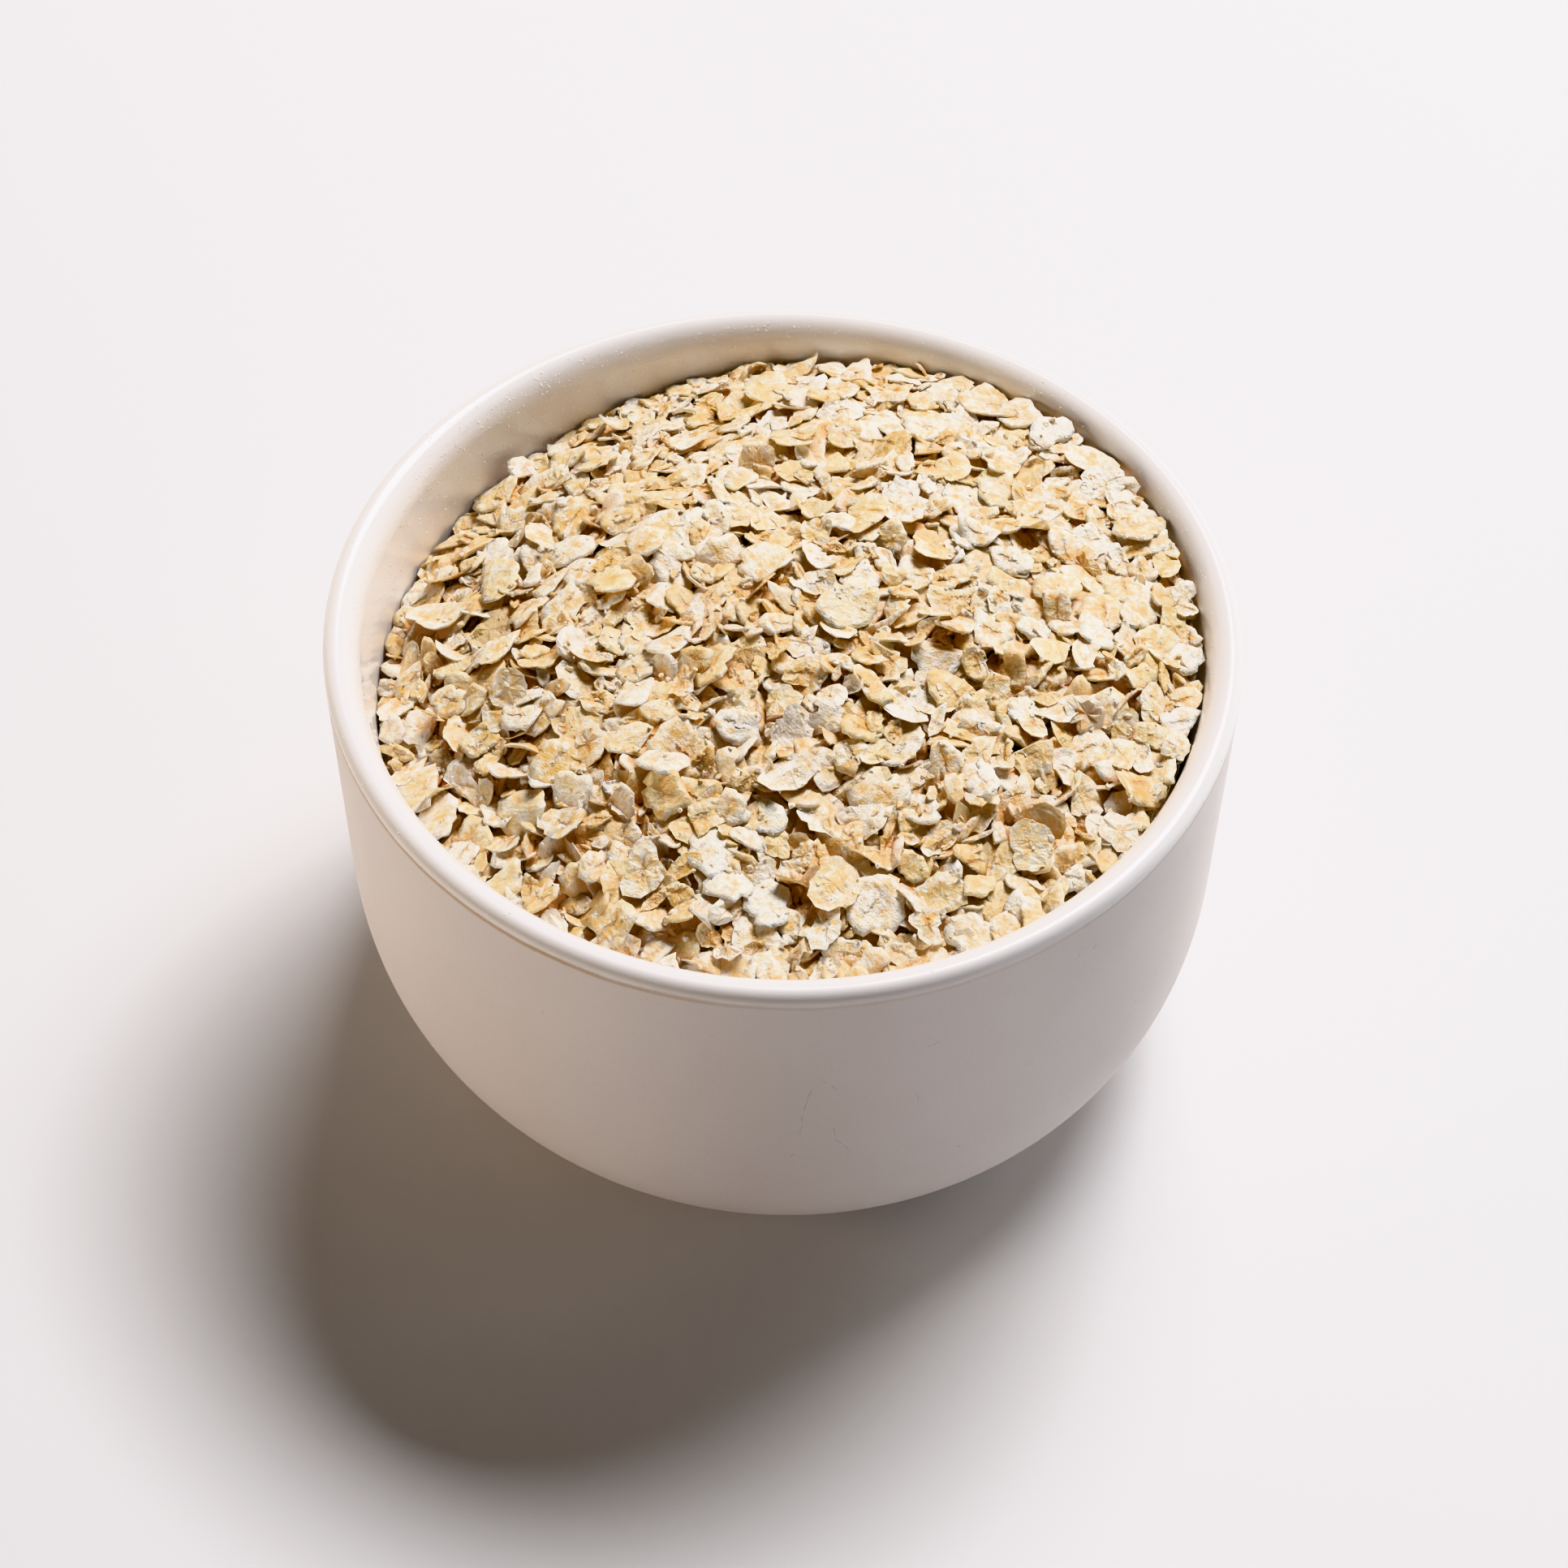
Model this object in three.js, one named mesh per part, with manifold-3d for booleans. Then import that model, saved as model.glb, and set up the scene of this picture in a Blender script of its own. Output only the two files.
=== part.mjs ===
// A hand-made stoneware bowl heaped with rolled oats.
//
// Millimetres, +Z up. The origin is where the bowl's axis meets the surface it stands on.
// Two solids: the bowl, and the heap of oats that lies in it just clear of the wall.

import * as THREE from 'three';
import { mergeVertices } from 'three/addons/utils/BufferGeometryUtils.js';
import Module from 'manifold-3d';

const wasm = await Module();
wasm.setup();

// Bowl: a straight wall above a rounded belly, on a low flat foot.
const bowl = {
  radius: 60, // outside of the straight wall
  height: 70, // foot to the top of the lip
  wall: 4, // also the lip's width, which is a full half round
  floor: 6, // thickness of the clay at the middle
  shoulder: 32.5, // height where the straight wall starts to curve in
  belly: 2.4, // 2 would make the curve an ellipse, more makes it squarer
  foot: 31,
  footHeight: 1.2,
  footChamfer: 0.6,
  innerFoot: 28, // radius of the flat floor inside
  around: 50, // segments round the bowl
};

// The clay is a little out of round: an oval and a three-lobed wave, each with its height and
// the direction of its first crest.
const oval = { waves: 2, height: 0.34, towards: THREE.MathUtils.degToRad(-29) };
const lobes = { waves: 3, height: 0.22, towards: THREE.MathUtils.degToRad(37) };

// Heap: its level at the wall leans up towards +X, and its crown stands proud of the lip.
const heap = {
  gap: 0.4, // clear of the bowl all over
  edge: 62.6, // mean level at the wall
  lean: 5.3, // rise of that level towards +X, and fall towards -X
  saddle: 1.9, // a second, two-fold wave of that level
  saddleTowards: THREE.MathUtils.degToRad(62),
  crown: 74, // height at the middle
  crownBack: 0.24, // share by which the crown's rise grows towards +Y and shrinks towards -Y
};

// Core of the heap, under the flakes. Ring n of its top has 6 n points, so that all its facets
// are about one flake across.
const core = {
  sink: 0.6, // depth below the heap's surface
  rings: 8,
  bump: 2.0, // height of its unevenness
  shift: 0.9, // how far a point may move off its ring
  depths: [0.55, 0.3, 0.17, 0.08, 0.02, 0], // rings down the side, as shares of the level at the wall
};

// Flakes, the largest first. Together they fill one even spiral, and each kind takes its share of
// the places all over the heap. Tilt is the most that a flake leans off the heap's slope.
const flakes = [
  { count: 62, length: [7.2, 9.2], aspect: [0.68, 0.92], thickness: 0.8, sides: 7, tilt: 0.24 },
  { count: 126, length: [5.9, 7.2], aspect: [0.66, 0.98], thickness: 0.8, sides: 6, tilt: 0.4 },
  { count: 52, length: [4.8, 5.9], aspect: [0.62, 0.98], thickness: 0.75, sides: 5, tilt: 0.6 },
  { count: 12, length: [5.0, 7.0], aspect: [0.5, 0.75], thickness: 0.7, sides: 5, tilt: 1.25 },
];
const laying = {
  lift: 0.15, // height of a flake's middle above the heap's surface
  curl: 0.022, // rise for each square millimetre along a flake, and twice the fall across it
  ragged: [0.84, 1.08], // outline's corners, as shares of the oval's radius
  uneven: 0.22, // how far a corner may move round the outline, as a share of a side
  stray: 0.8, // how far a flake may move off its place
  minLean: 0.5, // least lean of a flake, as a share of its kind's tilt
};
const goldenAngle = Math.PI * (3 - Math.sqrt(5));
const evenStep = 0.7549; // share of the kinds stepped over from one place to the next
const seed = 21;

// A repeatable random number between 0 and 1 (mulberry32).
function seededRandom(state) {
  return () => {
    state = (state + 0x6d2b79f5) | 0;
    let t = Math.imul(state ^ (state >>> 15), 1 | state);
    t = (t + Math.imul(t ^ (t >>> 7), 61 | t)) ^ t;
    return ((t ^ (t >>> 14)) >>> 0) / 4294967296;
  };
}

const random = seededRandom(seed);
const between = (low, high) => low + (high - low) * random();
const within = (amount) => between(-amount, amount);

// --- The bowl's curves

const innerFull = bowl.radius - bowl.wall;

// Radius at height z of a superelliptic belly, flat at the bottom and upright at the shoulder.
function bellyRadius(z, bottom, flat, full) {
  if (z >= bowl.shoulder) return full;
  const drop = Math.min(1, (bowl.shoulder - z) / (bowl.shoulder - bottom));
  return flat + (full - flat) * (1 - drop ** bowl.belly) ** (1 / bowl.belly);
}

// Points along such a belly from the flat up to the shoulder.
function bellyCurve(bottom, flat, full, steps) {
  const points = [];
  for (let i = 0; i <= steps; i++) {
    const turn = (Math.PI / 2) * (i / steps);
    const radius = flat + (full - flat) * Math.sin(turn) ** (2 / bowl.belly);
    const z = bowl.shoulder - (bowl.shoulder - bottom) * Math.cos(turn) ** (2 / bowl.belly);
    points.push(new THREE.Vector2(radius, z));
  }
  return points;
}

// Half round over the wall, from its outside to its inside.
function lipCurve(steps) {
  const lip = bowl.wall / 2;
  const points = [];
  for (let i = 0; i <= steps; i++) {
    const turn = Math.PI * (i / steps);
    const radius = bowl.radius - lip + lip * Math.cos(turn);
    points.push(new THREE.Vector2(radius, bowl.height - lip + lip * Math.sin(turn)));
  }
  return points;
}

// Radius multiplier at a direction round the bowl.
function outOfRound(angle) {
  const wave = (w) => w.height * Math.cos(w.waves * (angle - w.towards));
  return 1 + (wave(oval) + wave(lobes)) / bowl.radius;
}

// Pushes every point of a geometry out or in, so that the bowl and what lies in it stay in step.
function pushOutOfRound(geometry) {
  const position = geometry.getAttribute('position');
  for (let i = 0; i < position.count; i++) {
    const push = outOfRound(Math.atan2(position.getY(i), position.getX(i)));
    position.setXY(i, position.getX(i) * push, position.getY(i) * push);
  }
  geometry.computeVertexNormals();
  return geometry;
}

function makeBowl() {
  const profile = [
    new THREE.Vector2(0, 0),
    new THREE.Vector2(bowl.foot - bowl.footChamfer, 0),
    new THREE.Vector2(bowl.foot, bowl.footChamfer),
    ...bellyCurve(bowl.footHeight, bowl.foot, bowl.radius, 7),
    ...lipCurve(6),
    ...bellyCurve(bowl.floor, bowl.innerFoot, innerFull, 6).reverse(),
    new THREE.Vector2(0, bowl.floor),
  ];
  const geometry = new THREE.LatheGeometry(profile, bowl.around);
  geometry.rotateX(Math.PI / 2);
  return pushOutOfRound(geometry);
}

// --- The heap's surface

const heapRadius = innerFull - heap.gap;

// Radius at height z that the oats may reach inside the bowl.
function clearRadius(z) {
  return bellyRadius(z - heap.gap, bowl.floor, bowl.innerFoot, innerFull) - heap.gap;
}

// Level of the oats along the wall.
function edgeLevel(angle) {
  const lean = heap.lean * Math.cos(angle);
  return heap.edge + lean + heap.saddle * Math.cos(2 * (angle - heap.saddleTowards));
}

// Soft lumps and hollows, a few flakes wide: two crossing waves.
function lumps(x, y) {
  const broad = 0.8 * Math.sin(x / 6.1 + 1.3) * Math.cos(y / 7.3 + 0.6);
  const fine = 0.5 * Math.sin(x / 3.9 - y / 4.7 + 2.0);
  return broad + fine;
}

// Height of the heap at a point: a crown over the level at the wall, with lumps that fade there.
function heapHeight(x, y) {
  const reach = Math.min(1, Math.hypot(x, y) / heapRadius);
  const edge = edgeLevel(Math.atan2(y, x));
  const dome = (1 - reach ** 2) * (1 + (heap.crownBack * y) / heapRadius);
  return edge + (heap.crown - edge) * dome + lumps(x, y) * (1 - reach ** 6);
}

function heapNormal(x, y) {
  const step = 1.5;
  const slopeX = (heapHeight(x + step, y) - heapHeight(x - step, y)) / (2 * step);
  const slopeY = (heapHeight(x, y + step) - heapHeight(x, y - step)) / (2 * step);
  return new THREE.Vector3(-slopeX, -slopeY, 1).normalize();
}

// --- The heap's core

// The core's top: rings of points about the middle, with 6 more points on each ring outwards.
function coreTop(points, faces) {
  const onRing = (ring, k) => (ring === 0 ? 0 : 1 + 3 * ring * (ring - 1) + (k % (6 * ring)));
  for (let ring = 0; ring <= core.rings; ring++) {
    const count = Math.max(1, 6 * ring);
    for (let k = 0; k < count; k++) {
      const angle = (2 * Math.PI * k) / count;
      const shift = ring < core.rings ? within(core.shift) : 0;
      const radius = (heapRadius * ring) / core.rings + shift;
      const x = radius * Math.cos(angle);
      const y = radius * Math.sin(angle);
      points.push(x, y, heapHeight(x, y) - core.sink + within(core.bump / 2));
    }
  }
  for (let ring = 0; ring < core.rings; ring++) {
    for (let sector = 0; sector < 6; sector++) {
      for (let k = 0; k <= ring; k++) {
        const inner = sector * ring + k;
        const outer = sector * (ring + 1) + k;
        faces.push(onRing(ring, inner), onRing(ring + 1, outer), onRing(ring + 1, outer + 1));
        if (k === ring) continue;
        faces.push(onRing(ring, inner), onRing(ring + 1, outer + 1), onRing(ring, inner + 1));
      }
    }
  }
  return onRing(core.rings, 0);
}

// Closed solid: the top, then rings down along the bowl's inside to one point below.
function makeCore() {
  const points = [];
  const faces = [];
  const rim = 6 * core.rings;
  const bottom = bowl.floor + heap.gap;
  let above = coreTop(points, faces);
  for (const share of core.depths) {
    const start = points.length / 3;
    for (let k = 0; k < rim; k++) {
      const angle = (2 * Math.PI * k) / rim;
      const z = bottom + (edgeLevel(angle) - core.sink - bottom) * share;
      points.push(clearRadius(z) * Math.cos(angle), clearRadius(z) * Math.sin(angle), z);
    }
    for (let k = 0; k < rim; k++) {
      const next = (k + 1) % rim;
      faces.push(above + k, start + k, start + next, above + k, start + next, above + next);
    }
    above = start;
  }
  const pole = points.length / 3;
  points.push(0, 0, bottom);
  for (let k = 0; k < rim; k++) faces.push(above + k, pole, above + ((k + 1) % rim));

  const geometry = new THREE.BufferGeometry();
  geometry.setAttribute('position', new THREE.Float32BufferAttribute(points, 3));
  geometry.setIndex(faces);
  return geometry;
}

// --- The flakes

// One flake lying flat at the origin: an uneven oval plate, curled like a saddle.
function makeFlake(kind) {
  const halfLength = between(...kind.length) / 2;
  const halfWidth = halfLength * between(...kind.aspect);
  const outline = [];
  for (let k = 0; k < kind.sides; k++) {
    const angle = (2 * Math.PI * (k + within(laying.uneven))) / kind.sides;
    const ragged = between(...laying.ragged);
    const x = halfLength * ragged * Math.cos(angle);
    outline.push(new THREE.Vector2(x, halfWidth * ragged * Math.sin(angle)));
  }
  const plate = { depth: kind.thickness, bevelEnabled: false };
  const geometry = new THREE.ExtrudeGeometry(new THREE.Shape(outline), plate);
  geometry.translate(0, 0, -kind.thickness / 2);
  const curl = within(laying.curl);
  const position = geometry.getAttribute('position');
  for (let i = 0; i < position.count; i++) {
    const rise = curl * (position.getX(i) ** 2 - 2 * position.getY(i) ** 2);
    position.setZ(i, position.getZ(i) + rise);
  }
  return geometry;
}

// Turns a flake to the heap's slope plus a lean of its own, and sets it on the heap.
function layFlake(geometry, x, y, tilt) {
  const up = new THREE.Vector3(0, 0, 1);
  const spin = new THREE.Quaternion().setFromAxisAngle(up, between(0, 2 * Math.PI));
  const direction = between(0, 2 * Math.PI);
  const axis = new THREE.Vector3(Math.cos(direction), Math.sin(direction), 0);
  const lean = new THREE.Quaternion().setFromAxisAngle(axis, tilt * between(laying.minLean, 1));
  const slope = new THREE.Quaternion().setFromUnitVectors(up, heapNormal(x, y));
  geometry.applyQuaternion(slope.multiply(lean).multiply(spin));
  geometry.translate(x, y, heapHeight(x, y) + laying.lift);
}

// Moves a flake towards the axis until it clears the bowl.
function clearOfWall(geometry) {
  const position = geometry.getAttribute('position');
  let overshoot = 0;
  for (let i = 0; i < position.count; i++) {
    const reach = Math.hypot(position.getX(i), position.getY(i));
    overshoot = Math.max(overshoot, reach - clearRadius(position.getZ(i)));
  }
  geometry.computeBoundingBox();
  const centre = geometry.boundingBox.getCenter(new THREE.Vector3()).setZ(0);
  const inward = centre.setLength(overshoot);
  geometry.translate(-inward.x, -inward.y, 0);
}

// Kind of the flake at a place: a step that never repeats deals the kinds out by their shares.
function kindAt(place, places) {
  let share = ((place * evenStep) % 1) * places;
  return flakes.find((kind) => (share -= kind.count) < 0) ?? flakes.at(-1);
}

// Flakes on the points of a sunflower spiral, each moved a little off its place.
function scatterFlakes() {
  const places = flakes.reduce((sum, kind) => sum + kind.count, 0);
  const laid = [];
  for (let i = 0; i < places; i++) {
    const radius = heapRadius * Math.sqrt((i + 0.5) / places) + within(laying.stray);
    const angle = i * goldenAngle + within(laying.stray) / (radius + laying.stray);
    const kind = kindAt(i, places);
    const geometry = makeFlake(kind);
    layFlake(geometry, radius * Math.cos(angle), radius * Math.sin(angle), kind.tilt);
    clearOfWall(geometry);
    laid.push(geometry);
  }
  return laid;
}

// --- Fusing

function toSolid(geometry) {
  const bare = geometry.clone();
  bare.deleteAttribute('normal');
  bare.deleteAttribute('uv');
  const merged = mergeVertices(bare);
  const vertProperties = new Float32Array(merged.getAttribute('position').array);
  const triVerts = new Uint32Array(merged.getIndex().array);
  return new wasm.Manifold(new wasm.Mesh({ numProp: 3, vertProperties, triVerts }));
}

function toGeometry(solid) {
  const mesh = solid.getMesh();
  const geometry = new THREE.BufferGeometry();
  geometry.setAttribute('position', new THREE.Float32BufferAttribute(mesh.vertProperties, 3));
  geometry.setIndex(new THREE.Uint32BufferAttribute(mesh.triVerts, 1));
  return geometry;
}

// Core and flakes as one body. Loose scraps and sealed hollows are shells of their own, and only
// the outer shell, which is the largest, is kept.
function makeOats() {
  let fused = toSolid(makeCore());
  for (const flake of scatterFlakes()) fused = fused.add(toSolid(flake));
  const shells = fused.decompose().sort((a, b) => b.volume() - a.volume());
  return pushOutOfRound(toGeometry(shells[0]));
}

// --- The model

function namedMesh(name, geometry, look) {
  const mesh = new THREE.Mesh(geometry, new THREE.MeshStandardMaterial(look));
  mesh.name = name;
  return mesh;
}

const model = new THREE.Group();
model.add(namedMesh('bowl', makeBowl(), { color: 0xeee8e2, roughness: 0.25, metalness: 0 }));
model.add(namedMesh('oats', makeOats(), { color: 0xe3cda4, roughness: 0.85, metalness: 0 }));

export default model;
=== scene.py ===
import math

import bpy
import numpy as np
from mathutils import Matrix, Vector


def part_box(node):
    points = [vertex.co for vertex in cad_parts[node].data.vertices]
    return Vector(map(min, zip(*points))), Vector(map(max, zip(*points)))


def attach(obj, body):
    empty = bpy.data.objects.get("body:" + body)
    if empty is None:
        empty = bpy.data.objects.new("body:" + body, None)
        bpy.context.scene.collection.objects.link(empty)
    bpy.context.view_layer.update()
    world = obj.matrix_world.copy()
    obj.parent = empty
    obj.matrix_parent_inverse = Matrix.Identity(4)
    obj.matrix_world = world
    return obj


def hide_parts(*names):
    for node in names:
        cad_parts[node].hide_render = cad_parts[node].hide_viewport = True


# A hand-made stoneware bowl heaped with rolled oats.
# Shapes are worked out in millimetres and become metres when a mesh is made.

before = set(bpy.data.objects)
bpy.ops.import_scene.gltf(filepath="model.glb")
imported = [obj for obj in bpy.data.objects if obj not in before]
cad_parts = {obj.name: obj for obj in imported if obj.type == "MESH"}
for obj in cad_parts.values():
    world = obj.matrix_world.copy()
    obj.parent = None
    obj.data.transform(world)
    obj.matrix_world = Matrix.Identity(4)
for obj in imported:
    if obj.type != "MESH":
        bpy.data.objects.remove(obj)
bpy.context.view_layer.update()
scene = bpy.context.scene
mm = 0.001
fullTurn = 2 * math.pi
# in millimetres, further than anything in the bowl
farAway = 1e3
body = "root"


def meshObject(name, points, faces, smooth=True):
    # points: n x 3 in millimetres; faces: tables of point numbers, anticlockwise from outside, one table
    # for each number of corners; smooth: one answer for all faces or one for each
    faces = [np.asarray(table, np.int32) for table in faces]
    corners = np.concatenate([table.ravel() for table in faces])
    sizes = np.concatenate([np.full(len(table), table.shape[1]) for table in faces])
    mesh = bpy.data.meshes.new(name)
    mesh.vertices.add(len(points))
    mesh.vertices.foreach_set("co", (np.asarray(points) * mm).astype(np.float32).ravel())
    mesh.loops.add(len(corners))
    mesh.loops.foreach_set("vertex_index", corners)
    mesh.polygons.add(len(sizes))
    mesh.polygons.foreach_set("loop_start", (np.cumsum(sizes) - sizes).astype(np.int32))
    mesh.update(calc_edges=True)
    mesh.polygons.foreach_set("use_smooth", np.broadcast_to(smooth, len(sizes)).copy())
    piece = bpy.data.objects.new(name, mesh)
    scene.collection.objects.link(piece)
    return piece


def pointValues(piece, name, values):
    # one number for each point, which a material reads by this name
    layer = piece.data.attributes.new(name, "FLOAT", "POINT")
    layer.data.foreach_set("value", np.asarray(values, np.float32).ravel())


def flatMap(piece, name, uv):
    # uv: two numbers for each point, spread to the corners of the faces
    corners = np.empty(len(piece.data.loops), np.int32)
    piece.data.loops.foreach_get("vertex_index", corners)
    layer = piece.data.uv_layers.new(name=name)
    layer.data.foreach_set("uv", np.asarray(uv, np.float32)[corners].ravel())


def dress(piece, material, node):
    piece.data.materials.append(material)
    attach(piece, body)
    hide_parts(node)
    print(f"{piece.name}: {len(piece.data.vertices)} points, {len(piece.data.polygons)} faces")


def ringQuads(rings, count):
    # faces between rings of count points, each ring and the one after it
    row, k = np.meshgrid(np.arange(rings - 1), np.arange(count), indexing="ij")
    after = (k + 1) % count
    low, high = row * count, (row + 1) * count
    return np.stack([low + k, low + after, high + after, high + k], -1).reshape(-1, 4)


def fan(centre, first, count):
    # triangles from a centre point to each side of the ring whose points start at first
    k = np.arange(count)
    return np.stack([np.full(count, centre), first + k, first + (k + 1) % count], 1)


def unevenAngles(count, sides, spread, rng):
    # even steps round a full turn, each moved by up to the spread as a share of a step
    return (np.arange(sides) + rng.uniform(-spread, spread, (count, sides))) * fullTurn / sides


def unit(vectors):
    return vectors / np.linalg.norm(vectors, axis=1, keepdims=True)


class Wire:
    # an output socket in a material's tree; arithmetic on it adds Math nodes
    def __init__(self, tree, socket=None):
        self.tree = tree
        self.socket = socket

    def node(self, kind, settings=None, inputs=None, out=0):
        new = self.tree.nodes.new(kind)
        for key, value in (settings or {}).items():
            setattr(new, key, value)
        for key, value in (inputs or {}).items():
            if isinstance(value, Wire):
                self.tree.links.new(value.socket, new.inputs[key])
            else:
                new.inputs[key].default_value = value
        return Wire(self.tree, new.outputs[out])

    def maths(self, operation, *values):
        return self.node("ShaderNodeMath", {"operation": operation}, dict(enumerate(values)))

    def __add__(self, other):
        return self.maths("ADD", self, other)

    def __radd__(self, other):
        return self.maths("ADD", other, self)

    def __sub__(self, other):
        return self.maths("SUBTRACT", self, other)

    def __rsub__(self, other):
        return self.maths("SUBTRACT", other, self)

    def __mul__(self, other):
        return self.maths("MULTIPLY", self, other)

    def __rmul__(self, other):
        return self.maths("MULTIPLY", other, self)

    def __truediv__(self, other):
        return self.maths("DIVIDE", self, other)

    def __abs__(self):
        return self.maths("ABSOLUTE", self)

    def above(self, low, high):
        # 0 below low, 1 above high, smooth between
        inputs = {"Value": self, "From Min": low, "From Max": high}
        return self.node("ShaderNodeMapRange", {"interpolation_type": "SMOOTHSTEP"}, inputs)

    def below(self, low, high):
        return 1 - self.above(low, high)

    def mix(self, first, second):
        # colours: first where this is 0, second where it is 1; the node's colour sockets go by number
        return self.node("ShaderNodeMix", {"data_type": "RGBA"}, {0: self, 6: first, 7: second}, out=2)

    def parts(self):
        # the x, y and z of a vector
        split = self.node("ShaderNodeSeparateXYZ", None, {"Vector": self}).socket.node
        return [Wire(self.tree, split.outputs[i]) for i in range(3)]


def colour(red, green, blue):
    # a colour given as it looks on screen, 0 to 255, made linear
    def linear(value):
        value = value / 255
        return value / 12.92 if value <= 0.04045 else ((value + 0.055) / 1.055) ** 2.4
    return linear(red), linear(green), linear(blue), 1.0


def newMaterial(name, fixed):
    # fixed: values set on the shader's own sockets
    material = bpy.data.materials.new(name)
    material.use_nodes = True
    tree = material.node_tree
    shader = tree.nodes["Principled BSDF"]
    for key, value in fixed.items():
        shader.inputs[key].default_value = value
    return material, Wire(tree), shader


def plug(wire, shader, socket):
    wire.tree.links.new(wire.socket, shader.inputs[socket])


def objectPlace(start):
    return start.node("ShaderNodeTexCoord", out="Object")


def pointValue(start, name):
    return start.node("ShaderNodeAttribute", {"attribute_name": name}, out="Fac")


def noise(start, vector, scale, detail=2.0, roughness=0.5):
    inputs = {"Vector": vector, "Scale": scale, "Detail": detail, "Roughness": roughness}
    return start.node("ShaderNodeTexNoise", None, inputs)


def emboss(height, shader, strength, distance):
    # relief: the height times the distance, in metres
    inputs = {"Height": height, "Strength": strength, "Distance": distance}
    plug(height.node("ShaderNodeBump", None, inputs), shader, "Normal")


bowl = {
    "radius": 60.0, "height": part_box("bowl")[1].z / mm, "wall": 4.0, "floor": 6.0,
    # below the shoulder the body is a superellipse of the power belly
    "shoulder": 32.5, "belly": 2.4,
    "foot": 31.0, "footHeight": 1.2, "footChamfer": 0.6, "innerFoot": 28.0,
    # width and height of the lip's two quarter ellipses
    "lipOut": (1.5, 1.8), "lipIn": (3.2, 4.5),
    "flare": 1.5, "flareDepth": 7.0, "flarePower": 1.3,
    "ovalHeight": 0.34, "ovalTowards": math.radians(-29),
    "lobeHeight": 0.22, "lobeTowards": math.radians(37),
    "around": 288,
    "steps": {"outside": 36, "rise": 14, "lip": 40, "fall": 20, "inside": 24},
}


def outOfRound(angle):
    # radius multiplier: an oval wave plus a three-lobed wave
    oval = bowl["ovalHeight"] * np.cos(2 * (angle - bowl["ovalTowards"]))
    lobes = bowl["lobeHeight"] * np.cos(3 * (angle - bowl["lobeTowards"]))
    return 1 + (oval + lobes) / bowl["radius"]


def bellyCurve(bottom, flat, full, steps):
    # quarter superellipse from the flat at the bottom up to the shoulder
    turn = np.linspace(0, math.pi / 2, steps + 1)
    power = 2 / bowl["belly"]
    radius = flat + (full - flat) * np.sin(turn) ** power
    z = bowl["shoulder"] - (bowl["shoulder"] - bottom) * np.cos(turn).clip(0) ** power
    return np.stack([radius, z], 1)


def innerRadius(z):
    # inside of the bowl at height z: flared under the lip, a superellipse below the shoulder
    under = (bowl["height"] - bowl["lipIn"][1] - z).clip(0)
    flare = bowl["flare"] * (1 - np.exp(-(under / bowl["flareDepth"]) ** bowl["flarePower"]))
    full = bowl["radius"] - bowl["lipOut"][0] - bowl["lipIn"][0] - flare
    drop = ((bowl["shoulder"] - z) / (bowl["shoulder"] - bowl["floor"])).clip(0, 1)
    curve = (1 - drop ** bowl["belly"]) ** (1 / bowl["belly"])
    return bowl["innerFoot"] + (full - bowl["innerFoot"]) * curve


def lipCurve(steps):
    # a tight quarter ellipse outside and a wide one inside, meeting at the top
    turn = np.linspace(0, math.pi, steps + 1)
    outer = turn < math.pi / 2
    across = np.where(outer, bowl["lipOut"][0], bowl["lipIn"][0])
    tall = np.where(outer, bowl["lipOut"][1], bowl["lipIn"][1])
    radius = bowl["radius"] - bowl["lipOut"][0] + across * np.cos(turn)
    return np.stack([radius, bowl["height"] - tall * (1 - np.sin(turn))], 1)


def straight(start, end, steps):
    # points between two profile points, without its ends
    share = np.linspace(0, 1, steps + 1)[1:-1, None]
    return np.asarray(start) * (1 - share) + np.asarray(end) * share


def bowlProfile():
    # radius and height, from the foot up the outside, over the lip and down to the inside floor
    steps = bowl["steps"]
    outside = bellyCurve(bowl["footHeight"], bowl["foot"], bowl["radius"], steps["outside"])
    within = bowl["radius"] - bowl["wall"]
    inside = bellyCurve(bowl["floor"], bowl["innerFoot"], within, steps["inside"])[::-1]
    lip = lipCurve(steps["lip"])
    foot = [(bowl["foot"] - bowl["footChamfer"], 0), (bowl["foot"], bowl["footChamfer"])]
    rise = straight(outside[-1], lip[0], steps["rise"])
    fall = straight(lip[-1], inside[0], steps["fall"])
    inside = np.concatenate([fall, inside])
    inside[:, 0] = innerRadius(inside[:, 1])
    return np.concatenate([foot, outside, rise, lip, inside])


def alongProfile(profile):
    # length along the profile at each of its points, and at the lip's top
    steps = np.linalg.norm(np.diff(profile, axis=0), axis=1)
    along = np.concatenate([[0], np.cumsum(steps)])
    return along, along[np.argmax(profile[:, 1])]


def makeBowl():
    # surface of revolution: each profile point goes round the axis, pushed out of round
    profile = bowlProfile()
    count = bowl["around"]
    angle = np.arange(count) * fullTurn / count
    push = outOfRound(angle)
    ring = np.stack([np.cos(angle) * push, np.sin(angle) * push], 1)
    wall = np.concatenate([
        profile[:, None, :1] * ring[None],
        np.broadcast_to(profile[:, None, 1:], (len(profile), count, 1)),
    ], 2).reshape(-1, 3)
    points = np.concatenate([wall, [[0, 0, 0], [0, 0, bowl["floor"]]]])
    under = fan(len(wall), 0, count)[:, [0, 2, 1]]
    floor = fan(len(wall) + 1, (len(profile) - 1) * count, count)
    faces = [ringQuads(len(profile), count), np.concatenate([under, floor])]
    piece = meshObject("stonewareBowl", points, faces)
    # how far each point is from the lip's top along the profile, below 0 on the outside
    along, top = alongProfile(profile)
    fromLip = np.repeat(along - top, count)
    pointValues(piece, "fromLip", np.concatenate([fromLip, [-top, along[-1] - top]]))
    return piece


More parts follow.
